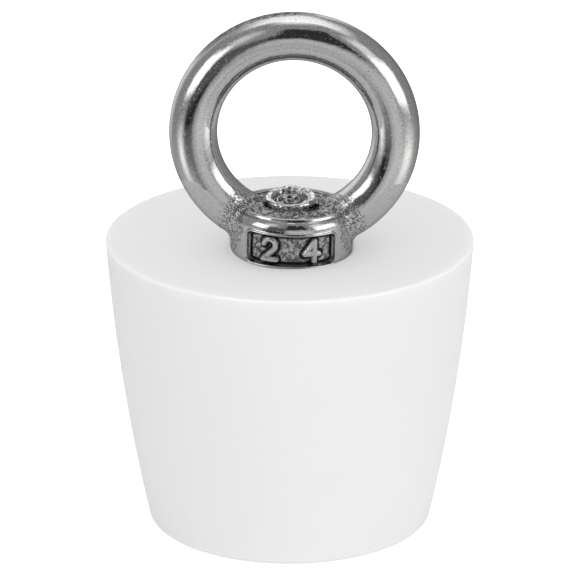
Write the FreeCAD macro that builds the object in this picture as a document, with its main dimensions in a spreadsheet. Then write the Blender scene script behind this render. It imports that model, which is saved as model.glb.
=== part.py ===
"""Tapered rubber plug with a cast eye nut.

A solid rubber plug, wide end up, is bored through on its axis.  A button head screw with a wide washer
comes up from a recess in the small end.  A cast eye nut is screwed down on the screw's tip until its
collar is pressed into the soft top face, which squeezes the rubber and bows its side.

Millimetres.  +Z is up, the origin is at the centre of the small end, and the eye lies in the XZ plane
with its marked panel towards -Y.
"""

import FreeCAD, Part

import math
import os

import Sketcher

# name, value in mm, meaning
SIZES = [
    ("plug_top_d", 36.0, "width of the plug's upper end"),
    ("plug_base_d", 27.5, "width of the plug's lower end"),
    ("plug_height", 29.0, "height of the rubber"),
    ("side_bow", 0.55, "how far the squeezed side stands out from a straight taper"),
    ("rim_round", 0.4, "rounding of the upper edge"),
    ("base_round", 0.8, "rounding of the lower edge"),
    ("dish_reach", 9.0, "width of the dish in the top face, from the collar outwards"),
    ("collar_sink", 1.2, "how deep the collar is pressed into the rubber"),
    ("bore_clearance", 0.15, "gap between the screw and the plug's bore"),
    ("recess_clearance", 0.5, "gap between the washer and the wall of its recess"),
    ("collar_d", 12.0, "width of the eye nut's collar"),
    ("collar_height", 3.75, "straight side of the collar, from its foot"),
    ("foot_round", 0.25, "rounding of the collar's foot"),
    ("crown_d", 10.7, "width of the eye nut's top face"),
    ("shoulder_height", 1.15, "height of the rounded shoulder below the top face"),
    ("crown_rise", 0.15, "how much the top face is domed"),
    ("eye_inner_d", 15.0, "opening of the eye"),
    ("eye_wire_d", 4.7, "thickness of the eye"),
    ("eye_overrun", 0.15, "how far the full eye would reach below the collar's foot, where it is cut off"),
    ("eye_root_round", 0.5, "fillet where the eye runs into the collar"),
    ("panel_width", 8.5, "width of the sunk panel on the collar"),
    ("panel_height", 2.95, "height of the sunk panel"),
    ("panel_base", 0.35, "lower edge of the panel above the collar's foot"),
    ("panel_depth", 0.35, "depth of the sunk panel"),
    ("panel_corner", 0.6, "corner radius of the sunk panel"),
    ("screw_d", 5.0, "thread diameter"),
    ("thread_clearance", 0.02, "gap between the screw's thread and the eye nut's"),
    ("thread_mouth", 0.4, "chamfer where the thread opens in the collar's foot"),
    ("tip_proud", 0.55, "how far the screw's tip stands above the eye nut"),
    ("tip_chamfer", 0.3, "chamfer of the screw's tip"),
    ("tip_rim", 0.35, "width of the flat rim round the hollow in the tip"),
    ("tip_hollow", 0.45, "depth of the hollow that thread rolling leaves in the tip"),
    ("head_inset", 0.65, "how far the screw's head stays inside the small end"),
    ("head_d", 9.5, "width of the button head"),
    ("head_height", 2.75, "height of the button head"),
    ("head_rim", 0.4, "straight rim of the button head, under its dome"),
    ("head_flat_d", 4.8, "flat on top of the button head's dome"),
    ("socket_across", 3.0, "hexagon socket, across flats"),
    ("socket_depth", 1.6, "depth of the hexagon socket"),
    ("washer_d", 15.0, "outer width of the washer"),
    ("washer_hole_d", 5.3, "hole of the washer"),
    ("washer_thickness", 1.2, "thickness of the washer"),
    ("washer_round", 0.2, "rounding of the washer's punched edges"),
]

# Heights above the small end, in terms of those sizes.
FOOT_Z = "(Sizes.plug_height - Sizes.collar_sink)"
BEARING_Z = "(Sizes.head_inset + Sizes.head_height)"
RECESS_Z = f"({BEARING_Z} + Sizes.washer_thickness)"

# Heights above the collar's foot.
CROWN_EDGE = "(Sizes.collar_height + Sizes.shoulder_height)"
TIP_ABOVE_FOOT = f"({CROWN_EDGE} + Sizes.crown_rise + Sizes.tip_proud)"

# The screw's length from under its head to its tip: 30 mm with the sizes above.
SCREW_LENGTH = f"({FOOT_Z} + {TIP_ABOVE_FOOT} - {BEARING_Z})"

SCREW_R = "(Sizes.screw_d / 2)"
COLLAR_R = "(Sizes.collar_d / 2)"
CROWN_R = "(Sizes.crown_d / 2)"
EYE_PITCH_R = "((Sizes.eye_inner_d + Sizes.eye_wire_d) / 2)"
EYE_OUTER_R = "(Sizes.eye_inner_d / 2 + Sizes.eye_wire_d)"

UP = FreeCAD.Vector(0, 0, 1)
NEAR = 1e-3


def make_sheet(doc):
    """The driving dimensions, one row each."""
    sheet = doc.addObject("Spreadsheet::Sheet", "Sizes")
    for row, (name, value, meaning) in enumerate(SIZES, start=1):
        sheet.set(f"A{row}", meaning)
        sheet.set(f"B{row}", str(value))
        sheet.setAlias(f"B{row}", name)
    doc.recompute()


def read(doc, expression):
    """The present value of an expression on the sheet, in mm."""
    value = doc.Sizes.evalExpression(expression.replace("Sizes.", ""))
    return float(getattr(value, "Value", value))


def tangent_radius(run, rise):
    """Radius of an arc that starts along the rise and covers this run and rise, as an expression."""
    return f"(({run} ^ 2 + {rise} ^ 2) / (2 * {run}))"


def place_sketch(body, name, role, offset=None):
    """A sketch on one of the body's origin planes, moved by offset = (direction, expression)."""
    plane = next(f for f in body.Origin.OriginFeatures if f.Role == role)
    sketch = body.newObject("Sketcher::SketchObject", name)
    sketch.AttachmentSupport = [(plane, "")]
    sketch.MapMode = "FlatFace"
    if offset:
        direction, expression = offset
        sketch.setExpression(f"AttachmentOffset.Base.{direction}", expression)
    return sketch


def hold(sketch, constraint, name, expression):
    """Adds a named constraint whose value follows an expression."""
    number = sketch.addConstraint(constraint)
    sketch.renameConstraint(number, name)
    sketch.setExpression(f"Constraints.{name}", expression)


def hold_point(sketch, piece, point, name, x, y):
    """Holds a point of the sketch at the expressions x and y, or on the axis where one is 0."""
    for kind, axis, expression in (("DistanceX", -2, x), ("DistanceY", -1, y)):
        if expression == "0":
            sketch.addConstraint(Sketcher.Constraint("PointOnObject", piece, point, axis))
            continue
        value = read(sketch.Document, expression)
        constraint = Sketcher.Constraint(kind, -1, 1, piece, point, value)
        hold(sketch, constraint, f"{name}_{kind[-1]}", expression)


def arc_between(start, end, radius, side):
    """The short arc of that radius from start to end, bulging to the right (side 1) or left (-1)."""
    chord = end - start
    left = FreeCAD.Vector(-chord.y, chord.x, 0).normalize()
    reach = math.sqrt(radius**2 - (chord.Length / 2) ** 2)
    centre = (start + end) * 0.5 + left * reach * side
    first, last = (start, end) if side > 0 else (end, start)
    first_angle = math.atan2(first.y - centre.y, first.x - centre.x)
    last_angle = math.atan2(last.y - centre.y, last.x - centre.x)
    return Part.ArcOfCircle(Part.Circle(centre, UP, radius), first_angle, last_angle)


def draw_outline(sketch, corners, arcs=None):
    """Draws a closed outline through the corners (name, x, y), where x and y are expressions.

    arcs gives (radius expression, side) for the sides that are bent, by the name of their first corner.
    """
    arcs = arcs or {}
    doc = sketch.Document
    places = [FreeCAD.Vector(read(doc, x), read(doc, y), 0) for _, x, y in corners]
    count = len(corners)
    first_point = []
    for i, (name, _, _) in enumerate(corners):
        start, end = places[i], places[(i + 1) % count]
        if name in arcs:
            radius, side = arcs[name]
            sketch.addGeometry(arc_between(start, end, read(doc, radius), side), False)
        else:
            side = 1
            sketch.addGeometry(Part.LineSegment(start, end), False)
        # An arc that bulges to the left is stored from its last point to its first.
        first_point.append(1 if side > 0 else 2)
    for i, (name, x, y) in enumerate(corners):
        after = (i + 1) % count
        joint = Sketcher.Constraint("Coincident", i, 3 - first_point[i], after, first_point[after])
        sketch.addConstraint(joint)
        hold_point(sketch, i, first_point[i], name, x, y)
        if name in arcs:
            radius = arcs[name][0]
            hold(sketch, Sketcher.Constraint("Radius", i, read(doc, radius)), f"{name}_R", radius)


def draw_circle(sketch, radius, x="0", y="0"):
    """Draws a circle whose radius and centre are expressions."""
    doc = sketch.Document
    centre = FreeCAD.Vector(read(doc, x), read(doc, y), 0)
    number = sketch.addGeometry(Part.Circle(centre, UP, read(doc, radius)), False)
    hold_point(sketch, number, 3, "centre", x, y)
    hold(sketch, Sketcher.Constraint("Radius", number, read(doc, radius)), "radius", radius)


def turned_body(doc, label, corners, arcs=None):
    """A body of revolution about Z, from its half section in the XZ plane."""
    body = doc.addObject("PartDesign::Body", label)
    body.Label = label
    section = place_sketch(body, f"{label}_section", "XZ_Plane")
    draw_outline(section, corners, arcs)
    doc.recompute()
    turned = body.newObject("PartDesign::Revolution", f"{label}_turned")
    turned.Profile = section
    turned.ReferenceAxis = (section, ["V_Axis"])
    turned.Angle = 360.0
    doc.recompute()
    return body


def dress_edges(body, kind, name, wanted, size):
    """Rounds (Fillet) or breaks (Chamfer) the body's edges for which wanted(edge) is true."""
    base = body.Tip
    edges = [f"Edge{i}" for i, edge in enumerate(base.Shape.Edges, start=1) if wanted(edge)]
    dressed = body.newObject(f"PartDesign::{kind}", name)
    dressed.Base = (base, edges)
    dressed.setExpression("Radius" if kind == "Fillet" else "Size", size)
    body.Document.recompute()


def is_ring(doc, edge, radius, height):
    """Whether the edge is a circle about Z with that radius and height, both expressions."""
    if edge.Degenerated or not isinstance(edge.Curve, Part.Circle):
        return False
    circle = edge.Curve
    same_centre = (circle.Center - UP * read(doc, height)).Length < NEAR
    return same_centre and abs(circle.Radius - read(doc, radius)) < NEAR


def make_plug(doc):
    """The rubber: bowed taper, dished top face, bore, and the recess for washer and screw head."""
    top_r = "(Sizes.plug_top_d / 2)"
    base_r = "(Sizes.plug_base_d / 2)"
    bore_r = f"({SCREW_R} + Sizes.bore_clearance)"
    recess_r = "(Sizes.washer_d / 2 + Sizes.recess_clearance)"
    chord_squared = f"(Sizes.plug_height ^ 2 + ({top_r} - {base_r}) ^ 2)"
    side_radius = f"({chord_squared} / (8 * Sizes.side_bow) + Sizes.side_bow / 2)"
    corners = [
        ("bore_low", bore_r, RECESS_Z),
        ("recess_top", recess_r, RECESS_Z),
        ("recess_mouth", recess_r, "0"),
        ("base_edge", base_r, "0"),
        ("rim_edge", top_r, "Sizes.plug_height"),
        ("dish_edge", f"({COLLAR_R} + Sizes.dish_reach)", "Sizes.plug_height"),
        ("seat_edge", COLLAR_R, FOOT_Z),
        ("bore_high", bore_r, FOOT_Z),
    ]
    arcs = {
        "base_edge": (side_radius, 1),
        "dish_edge": (tangent_radius("Sizes.collar_sink", "Sizes.dish_reach"), 1),
    }
    body = turned_body(doc, "tapered_plug", corners, arcs)

    def is_rim(edge):
        return is_ring(doc, edge, top_r, "Sizes.plug_height")

    def is_base(edge):
        return is_ring(doc, edge, base_r, "0")

    dress_edges(body, "Fillet", "rim_rounding", is_rim, "Sizes.rim_round")
    dress_edges(body, "Fillet", "base_rounding", is_base, "Sizes.base_round")
    return body


def make_eye_nut(doc):
    """The casting: collar with rounded shoulder and domed top, eye, sunk panel, threaded bore."""
    shoulder_run = f"({COLLAR_R} - {CROWN_R})"
    corners = [
        ("foot_axis", "0", "0"),
        ("foot_edge", COLLAR_R, "0"),
        ("shoulder", COLLAR_R, "Sizes.collar_height"),
        ("crown_edge", CROWN_R, CROWN_EDGE),
        ("crown_top", "0", f"({CROWN_EDGE} + Sizes.crown_rise)"),
    ]
    arcs = {
        "shoulder": (tangent_radius(shoulder_run, "Sizes.shoulder_height"), 1),
        "crown_edge": (tangent_radius("Sizes.crown_rise", CROWN_R), 1),
    }
    body = turned_body(doc, "eye_nut", corners, arcs)
    body.setExpression("Placement.Base.z", FOOT_Z)

    def is_foot(edge):
        return is_ring(doc, edge, COLLAR_R, "0")

    dress_edges(body, "Fillet", "foot_rounding", is_foot, "Sizes.foot_round")

    wire = place_sketch(body, "eye_section", "YZ_Plane", ("y", f"{EYE_OUTER_R} - Sizes.eye_overrun"))
    draw_circle(wire, "(Sizes.eye_wire_d / 2)", y=EYE_PITCH_R)
    eye = body.newObject("PartDesign::Revolution", "eye")
    eye.Profile = wire
    eye.ReferenceAxis = (wire, ["H_Axis"])
    eye.Angle = 360.0
    doc.recompute()

    below = place_sketch(body, "below_foot", "XY_Plane")
    draw_circle(below, "(Sizes.eye_inner_d / 2)")
    trim = body.newObject("PartDesign::Pocket", "foot_trim")
    trim.Profile = below
    trim.Type = "ThroughAll"
    doc.recompute()

    def is_eye_face(face):
        surface = face.Surface
        return isinstance(surface, Part.Toroid) and abs(surface.Axis.y) > 1 - NEAR

    def is_eye_root(edge):
        sides = body.Tip.Shape.ancestorsOfType(edge, Part.Face)
        on_collar = NEAR < edge.CenterOfMass.z < read(doc, CROWN_EDGE)
        return on_collar and len(sides) == 2 and sum(is_eye_face(face) for face in sides) == 1

    dress_edges(body, "Fillet", "eye_root_rounding", is_eye_root, "Sizes.eye_root_round")

    bore_r = f"({SCREW_R} + Sizes.thread_clearance)"
    section = place_sketch(body, "bore_section", "XY_Plane")
    draw_circle(section, bore_r)
    bore = body.newObject("PartDesign::Pocket", "thread_bore")
    bore.Profile = section
    bore.setExpression("Length", TIP_ABOVE_FOOT)
    bore.Reversed = True
    doc.recompute()

    def is_bore_mouth(edge):
        return is_ring(doc, edge, bore_r, "0")

    dress_edges(body, "Chamfer", "thread_mouth_chamfer", is_bore_mouth, "Sizes.thread_mouth")
    sink_panel(doc, body)
    return body


def sink_panel(doc, body):
    """The panel: a groove part of the way round the collar, with rounded corners."""
    floor_r = f"({COLLAR_R} - Sizes.panel_depth)"
    outside_r = f"({COLLAR_R} + Sizes.panel_depth)"
    panel_top = "(Sizes.panel_base + Sizes.panel_height)"
    section = place_sketch(body, "panel_section", "YZ_Plane")
    corners = [
        ("floor_low", f"(-{floor_r})", "Sizes.panel_base"),
        ("floor_high", f"(-{floor_r})", panel_top),
        ("outside_high", f"(-{outside_r})", panel_top),
        ("outside_low", f"(-{outside_r})", "Sizes.panel_base"),
    ]
    draw_outline(section, corners)
    panel = body.newObject("PartDesign::Groove", "panel")
    panel.Profile = section
    panel.ReferenceAxis = (section, ["V_Axis"])
    panel.setExpression("Angle", f"2 * asin(Sizes.panel_width / 2 / {COLLAR_R})")
    panel.Midplane = True
    doc.recompute()

    def is_panel_corner(edge):
        if edge.Degenerated or not isinstance(edge.Curve, Part.Line):
            return False
        flat = abs(edge.tangentAt(edge.FirstParameter).z) < NEAR
        return flat and abs(edge.Length - read(doc, "Sizes.panel_depth")) < NEAR

    dress_edges(body, "Fillet", "panel_corners", is_panel_corner, "Sizes.panel_corner")


def make_screw(doc):
    """The button head screw, head down, measured from its bearing face."""
    rim_r = f"({SCREW_R} - Sizes.tip_chamfer)"
    hollow_r = f"({rim_r} - Sizes.tip_rim)"
    dome_run = "(Sizes.head_d / 2 - Sizes.head_flat_d / 2)"
    dome_rise = "(Sizes.head_height - Sizes.head_rim)"
    corners = [
        ("head_axis", "0", "-Sizes.head_height"),
        ("dome_flat", "(Sizes.head_flat_d / 2)", "-Sizes.head_height"),
        ("dome_edge", "(Sizes.head_d / 2)", "-Sizes.head_rim"),
        ("bearing_edge", "(Sizes.head_d / 2)", "0"),
        ("shank_root", SCREW_R, "0"),
        ("chamfer", SCREW_R, f"({SCREW_LENGTH} - Sizes.tip_chamfer)"),
        ("tip_rim", rim_r, SCREW_LENGTH),
        ("hollow_edge", hollow_r, SCREW_LENGTH),
        ("hollow_floor", "0", f"({SCREW_LENGTH} - Sizes.tip_hollow)"),
    ]
    arcs = {
        "dome_flat": (tangent_radius(dome_run, dome_rise), 1),
        "hollow_edge": (tangent_radius("Sizes.tip_hollow", hollow_r), -1),
    }
    body = turned_body(doc, "button_head_screw", corners, arcs)
    body.setExpression("Placement.Base.z", BEARING_Z)

    socket = place_sketch(body, "socket_section", "XY_Plane", ("z", "-Sizes.head_height"))
    half = "(Sizes.socket_across / 2)"
    draw_outline(
        socket,
        [
            ("right_high", half, f"({half} / sqrt(3))"),
            ("top", "0", f"(2 * {half} / sqrt(3))"),
            ("left_high", f"(-{half})", f"({half} / sqrt(3))"),
            ("left_low", f"(-{half})", f"(-{half} / sqrt(3))"),
            ("bottom", "0", f"(-2 * {half} / sqrt(3))"),
            ("right_low", half, f"(-{half} / sqrt(3))"),
        ],
    )
    pocket = body.newObject("PartDesign::Pocket", "hexagon_socket")
    pocket.Profile = socket
    pocket.setExpression("Length", "Sizes.socket_depth")
    pocket.Reversed = True
    doc.recompute()
    return body


def make_washer(doc):
    """The wide washer, standing on the screw's head."""
    outer_r = "(Sizes.washer_d / 2)"
    hole_r = "(Sizes.washer_hole_d / 2)"
    corners = [
        ("hole_low", hole_r, "0"),
        ("outer_low", outer_r, "0"),
        ("outer_high", outer_r, "Sizes.washer_thickness"),
        ("hole_high", hole_r, "Sizes.washer_thickness"),
    ]
    body = turned_body(doc, "wide_washer", corners)
    body.setExpression("Placement.Base.z", BEARING_Z)

    def is_outer_edge(edge):
        heights = ("0", "Sizes.washer_thickness")
        return any(is_ring(doc, edge, outer_r, height) for height in heights)

    dress_edges(body, "Fillet", "washer_rounding", is_outer_edge, "Sizes.washer_round")
    return body


def check_document(doc, bodies):
    """Stops if any object failed or any body isn't one valid solid, or a cut removed nothing."""
    for item in doc.Objects:
        if "Invalid" in item.State or "Error" in item.State:
            raise RuntimeError(f"{item.Label} did not recompute: {item.State}")
        if item.TypeId in ("PartDesign::Pocket", "PartDesign::Groove"):
            if item.Shape.Volume >= item.BaseFeature.Shape.Volume:
                raise RuntimeError(f"{item.Label} cuts nothing")
    for body in bodies:
        shape = body.Shape
        if shape.isNull() or not shape.isValid() or len(shape.Solids) != 1:
            raise RuntimeError(f"{body.Label} is not one valid solid")


def main():
    os.makedirs("parts", exist_ok=True)
    doc = FreeCAD.newDocument("TaperedPlug")
    make_sheet(doc)
    bodies = [make_plug(doc), make_eye_nut(doc), make_screw(doc), make_washer(doc)]
    doc.recompute()
    check_document(doc, bodies)
    for body in bodies:
        body.Shape.exportStep(f"parts/{body.Label}.step")
        print(f"{body.Label}: {body.Shape.Volume:.2f} cubic mm")


main()
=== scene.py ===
"""Tapered rubber plug with a cast eye nut: the visual model, its studio and its camera.

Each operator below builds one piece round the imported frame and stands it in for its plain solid.  The
pieces share the frame's axes: metres, +Z up, the origin at the centre of the plug's small end, the eye
in the XZ plane with its marked panel towards -Y.
"""

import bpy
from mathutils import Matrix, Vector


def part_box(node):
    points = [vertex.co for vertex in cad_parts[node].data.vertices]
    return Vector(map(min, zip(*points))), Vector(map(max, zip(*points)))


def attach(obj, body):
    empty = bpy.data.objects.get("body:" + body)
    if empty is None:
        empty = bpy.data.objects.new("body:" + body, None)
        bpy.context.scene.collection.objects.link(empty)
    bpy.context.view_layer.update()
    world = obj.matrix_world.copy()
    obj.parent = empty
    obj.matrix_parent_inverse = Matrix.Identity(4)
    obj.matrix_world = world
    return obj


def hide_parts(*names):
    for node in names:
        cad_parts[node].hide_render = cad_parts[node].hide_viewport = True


bl_info = {
    "name": "Tapered plug with eye nut",
    "version": (1, 0, 0),
    "blender": (4, 5, 0),
    "location": "3D View > Sidebar > Plug",
    "description": "Builds a tapered rubber plug, its cast eye nut, its screw and its washer",
    "category": "Add Mesh",
}

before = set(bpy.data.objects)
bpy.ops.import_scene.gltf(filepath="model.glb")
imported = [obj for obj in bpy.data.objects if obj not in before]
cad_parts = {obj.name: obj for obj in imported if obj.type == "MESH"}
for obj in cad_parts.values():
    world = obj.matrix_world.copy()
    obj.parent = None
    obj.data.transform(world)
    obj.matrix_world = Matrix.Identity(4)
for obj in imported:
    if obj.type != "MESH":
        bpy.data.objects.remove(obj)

import math

import bmesh
import bpy
from bpy.props import FloatProperty, FloatVectorProperty, PointerProperty
from mathutils import Vector

MM = 0.001
PLUG_LOW, PLUG_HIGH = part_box("tapered_plug")
NUT_LOW, NUT_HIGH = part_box("eye_nut")
SCREW_LOW, SCREW_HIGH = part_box("button_head_screw")
WASHER_LOW, WASHER_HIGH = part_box("wide_washer")


def length(name, description, default):
    """A size in metres that the sidebar shows in the scene's unit."""
    return FloatProperty(
        name=name, description=description, default=default, min=0.0, unit="LENGTH", precision=5
    )


def angle(name, description, degrees):
    """An angle that the sidebar shows in degrees."""
    default = math.radians(degrees)
    return FloatProperty(name=name, description=description, default=default, subtype="ANGLE")


def colour(name, description, default):
    """A linear colour."""
    return FloatVectorProperty(
        name=name, description=description, default=default, size=3, min=0.0, max=1.0, subtype="COLOR"
    )


class PlugSizes(bpy.types.PropertyGroup):
    top_width: length("Top width", "Width of the rubber's upper end", 36 * MM)
    base_width: length("Base width", "Width of the rubber's lower end", 27.5 * MM)
    height: length("Height", "Height of the rubber", PLUG_HIGH.z - PLUG_LOW.z)
    bow: length("Bow", "How far the squeezed side stands out from a straight taper", 0.55 * MM)
    rim_round: length("Rim rounding", "Rounding of the upper edge", 0.25 * MM)
    base_round: length("Base rounding", "Rounding of the lower edge", 0.8 * MM)
    dish_reach: length("Dish reach", "Width of the dish, from the collar outwards", 9 * MM)
    bore_width: length("Bore", "Bore for the screw", 5.3 * MM)
    recess_width: length("Recess width", "Width of the recess in the small end", 16 * MM)
    mouth_round: length("Mouth rounding", "Rounding of the recess's edge", 0.3 * MM)
    rubber: colour("Rubber", "Colour of the milky rubber", (0.80, 0.80, 0.80))


class NutSizes(bpy.types.PropertyGroup):
    collar_width: length("Collar width", "Width of the collar", 12 * MM)
    side_height: length("Side height", "Straight side of the collar, from its foot", 3.6 * MM)
    crown_width: length("Crown width", "Width of the rough top face", 10.7 * MM)
    crown_height: length("Crown height", "Height of the crown's lip above the foot", 4.9 * MM)
    crown_rise: length("Crown rise", "How much the top face is domed", 0.15 * MM)
    foot_depth: length("Foot depth", "How much deeper than the plain solid the foot reaches", 0.12 * MM)
    opening: length("Eye opening", "Opening of the eye", 15 * MM)
    wire: length("Eye thickness", "Thickness of the eye", 4.7 * MM)
    crown_fall: length("Crown fall", "How much lower the crown's back is worn than its front", 0.4 * MM)
    lip_height: length("Lip height", "How far the polished lip stands above the crown's edge", 0.2 * MM)
    root_reach: length("Root reach", "How far the blend of eye and collar reaches", 1.1 * MM)
    pitted_reach: length("Pitted reach", "How far the eye's roots are left as cast", 2.2 * MM)
    bore: length("Bore", "Width of the threaded bore", 5.04 * MM)
    panel_width: length("Panel width", "Width of the sunk panel", 8.5 * MM)
    panel_base: length("Panel base", "Lower edge of the panel above the foot", 0.3 * MM)
    panel_height: length("Panel height", "Height of the sunk panel", 3.0 * MM)
    panel_depth: length("Panel depth", "Depth of the sunk panel", 0.42 * MM)
    panel_corner: length("Panel corner", "Corner radius of the sunk panel", 0.6 * MM)
    stroke: length("Stroke", "Width of the strokes of the number in the panel", 0.50 * MM)
    grain: length("Mesh grain", "Width of the faces of the cast surface", 0.165 * MM)
    shift: length("Shift", "How far the nut sits to the right of the bore's middle", 0.15 * MM)
    lean: angle("Lean", "How far the nut leans to its right on the soft rubber", 1.45)
    steel: colour("Steel", "Reflected colour of the polished steel", (0.52, 0.52, 0.515))


class ScrewSizes(bpy.types.PropertyGroup):
    thread_width: length("Thread", "Outer width of the thread", 5 * MM)
    pitch: length("Pitch", "Rise of one turn of the thread", 0.8 * MM)
    thread_depth: length("Thread depth", "Depth of the thread", 0.45 * MM)
    head_width: length("Head width", "Width of the button head", 9.5 * MM)
    head_height: length("Head height", "Height of the button head", 2.75 * MM)
    head_rim: length("Head rim", "Straight rim under the head's dome", 0.4 * MM)
    head_flat: length("Head flat", "Width of the flat on the head's dome", 4.8 * MM)
    socket: length("Socket", "Hexagon socket, across flats", 3 * MM)
    steel: colour("Steel", "Reflected colour of the rolled steel", (0.60, 0.60, 0.59))


class WasherSizes(bpy.types.PropertyGroup):
    hole_width: length("Hole", "Hole of the washer", 5.3 * MM)
    steel: colour("Steel", "Reflected colour of the punched sheet", (0.58, 0.58, 0.58))


class StudioSettings(bpy.types.PropertyGroup):
    distance: length("Camera distance", "From the centre of the rubber's top to the camera", 0.72614)
    elevation: angle("Elevation", "Camera above the horizon", 20.12)
    azimuth: angle("Azimuth", "Camera round the plug", 1.21)
    aim_right: length("Aim right", "Where the camera points, right of the plug's axis", 0.02 * MM)
    aim_below: length("Aim below", "Where the camera points, below the rubber's top", 5.54 * MM)
    lens: FloatProperty(name="Lens", description="Focal length in millimetres", default=461.5)
    ambient: FloatProperty(name="Ambient", description="Light from all round", default=0.5)


# Materials


class Value:
    """An output of a material's node.  Python's operators on it add Math nodes."""

    def __init__(self, finish, node, out=0):
        self.finish = finish
        self.node = node
        self.socket = node.outputs[out]

    def out(self, name):
        return Value(self.finish, self.node, name)

    def maths(self, operation, *values):
        return self.finish.node("ShaderNodeMath", {"operation": operation}, dict(enumerate(values)))

    def __add__(self, other):
        return self.maths("ADD", self, other)

    def __radd__(self, other):
        return self.maths("ADD", other, self)

    def __sub__(self, other):
        return self.maths("SUBTRACT", self, other)

    def __rsub__(self, other):
        return self.maths("SUBTRACT", other, self)

    def __mul__(self, other):
        return self.maths("MULTIPLY", self, other)

    def __rmul__(self, other):
        return self.maths("MULTIPLY", other, self)

    def __pow__(self, other):
        return self.maths("POWER", self, other)

    def most(self, other):
        return self.maths("MAXIMUM", self, other)

    def size(self):
        return self.maths("ABSOLUTE", self)


class Finish:
    """A node tree in the making."""

    def __init__(self, tree, output="ShaderNodeOutputMaterial"):
        self.tree = tree
        self.output = output
        tree.nodes.clear()

    def node(self, kind, settings=None, values=None, out=0):
        """Adds a node: its settings first, then the values or links of its sockets."""
        node = self.tree.nodes.new(kind)
        for name, setting in (settings or {}).items():
            setattr(node, name, setting)
        for key, value in (values or {}).items():
            if isinstance(value, Value):
                self.tree.links.new(value.socket, node.inputs[key])
            else:
                node.inputs[key].default_value = value
        return Value(self, node, out)

    def place(self):
        """The point's object coordinates."""
        return self.node("ShaderNodeTexCoord", out="Object")

    def axes(self, vector):
        """The X, Y and Z of a vector."""
        split = self.node("ShaderNodeSeparateXYZ", None, {0: vector})
        return split, split.out(1), split.out(2)

    def vector(self, operation, *values):
        return self.node("ShaderNodeVectorMath", {"operation": operation}, dict(enumerate(values)))

    def seen(self):
        """1 on rays from the camera, off metal or through glass, 0 on rays that gather light."""
        ray = self.node("ShaderNodeLightPath")
        seen = ray.out("Is Camera Ray").most(ray.out("Is Glossy Ray"))
        return seen.most(ray.out("Is Transmission Ray"))

    def noise(self, place, size, detail=2.0, roughness=0.5):
        """Cloudy noise from 0 to 1, with blobs of that size in metres."""
        values = {"Vector": place, "Scale": 1 / size, "Detail": detail, "Roughness": roughness}
        return self.node("ShaderNodeTexNoise", None, values)

    def cells(self, place, size):
        """Distance from the middle of the nearest cell, with cells of that size in metres."""
        values = {"Vector": place, "Scale": 1 / size}
        return self.node("ShaderNodeTexVoronoi", None, values, "Distance")

    def painted(self, name):
        """A layer painted on the mesh."""
        return self.node("ShaderNodeAttribute", {"attribute_name": name}, None, "Fac")

    def step(self, value, low, high):
        """0 below low, 1 above high and smooth between; falls instead where low is above high."""
        ends = {1: low, 2: high, 3: 0.0, 4: 1.0}
        if low > high:
            ends = {1: high, 2: low, 3: 1.0, 4: 0.0}
        return self.node("ShaderNodeMapRange", {"interpolation_type": "SMOOTHSTEP"}, {0: value, **ends})

    def mix(self, factor, a, b):
        """Colour a where the factor is 0, colour b where it is 1."""
        settings = {"data_type": "RGBA", "clamp_factor": True}
        return self.node("ShaderNodeMix", settings, {0: factor, 6: rgba(a), 7: rgba(b)}, out=2)

    def bump(self, height, distance, normal=None):
        """A normal bent by a height from 0 to 1 that stands for that distance in metres."""
        values = {"Height": height, "Distance": distance, "Strength": 1.0}
        if normal is not None:
            values["Normal"] = normal
        return self.node("ShaderNodeBump", None, values)

    def surface(self, **values):
        """Ends the tree in a Principled shader.  Spaces in a socket's name are written as _."""
        named = {name.replace("_", " "): value for name, value in values.items()}
        self.end(self.node("ShaderNodeBsdfPrincipled", None, named))

    def end(self, shader):
        self.tree.links.new(shader.socket, self.tree.nodes.new(self.output).inputs["Surface"])


def rgba(value):
    """A grey or a linear colour with its alpha; links pass through."""
    if isinstance(value, Value):
        return value
    if isinstance(value, (int, float)):
        return (value, value, value, 1.0)
    return (*value[:3], 1.0)


def new_finish(piece, name):
    """Gives the piece an empty material of that name and returns its tree in the making."""
    material = bpy.data.materials.new(name)
    material.use_nodes = True
    piece.data.materials.clear()
    piece.data.materials.append(material)
    return Finish(material.node_tree)


# Modelling


def only(piece):
    """Selects and activates that object and nothing else."""
    if bpy.context.mode != "OBJECT":
        bpy.ops.object.mode_set(mode="OBJECT")
    bpy.ops.object.select_all(action="DESELECT")
    piece.select_set(True)
    bpy.context.view_layer.objects.active = piece


def settle(piece, name):
    """Names the new primitive and moves its place into its mesh."""
    only(piece)
    piece.name = name
    piece.data.name = name
    bpy.ops.object.transform_apply(location=True, rotation=True, scale=True)
    return piece


def pick(piece, kind, wanted):
    """In edit mode, selects the verts, edges or faces for which wanted(item) is true."""
    bpy.ops.mesh.select_mode(type={"verts": "VERT", "edges": "EDGE", "faces": "FACE"}[kind])
    bpy.ops.mesh.select_all(action="DESELECT")
    shape = bmesh.from_edit_mesh(piece.data)
    for item in getattr(shape, kind):
        item.select_set(wanted(item))
    shape.select_flush_mode()
    bmesh.update_edit_mesh(piece.data)


def open_mesh(piece):
    """Goes into edit mode with all of the piece selected."""
    only(piece)
    bpy.ops.object.mode_set(mode="EDIT")
    bpy.ops.mesh.select_all(action="SELECT")


def close_mesh():
    bpy.ops.object.mode_set(mode="OBJECT")


def close_up(piece):
    """Merges doubles and turns the faces outwards."""
    open_mesh(piece)
    bpy.ops.mesh.remove_doubles(threshold=1e-6)
    bpy.ops.mesh.normals_make_consistent(inside=False)
    close_mesh()


def cut_level(height, above):
    """In edit mode, cuts everything off above or below that height and closes the cut."""
    bpy.ops.mesh.select_all(action="SELECT")
    bpy.ops.mesh.bisect(
        plane_co=(0, 0, height),
        plane_no=(0, 0, 1),
        use_fill=True,
        clear_inner=not above,
        clear_outer=above,
        threshold=1e-7,
    )


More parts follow.
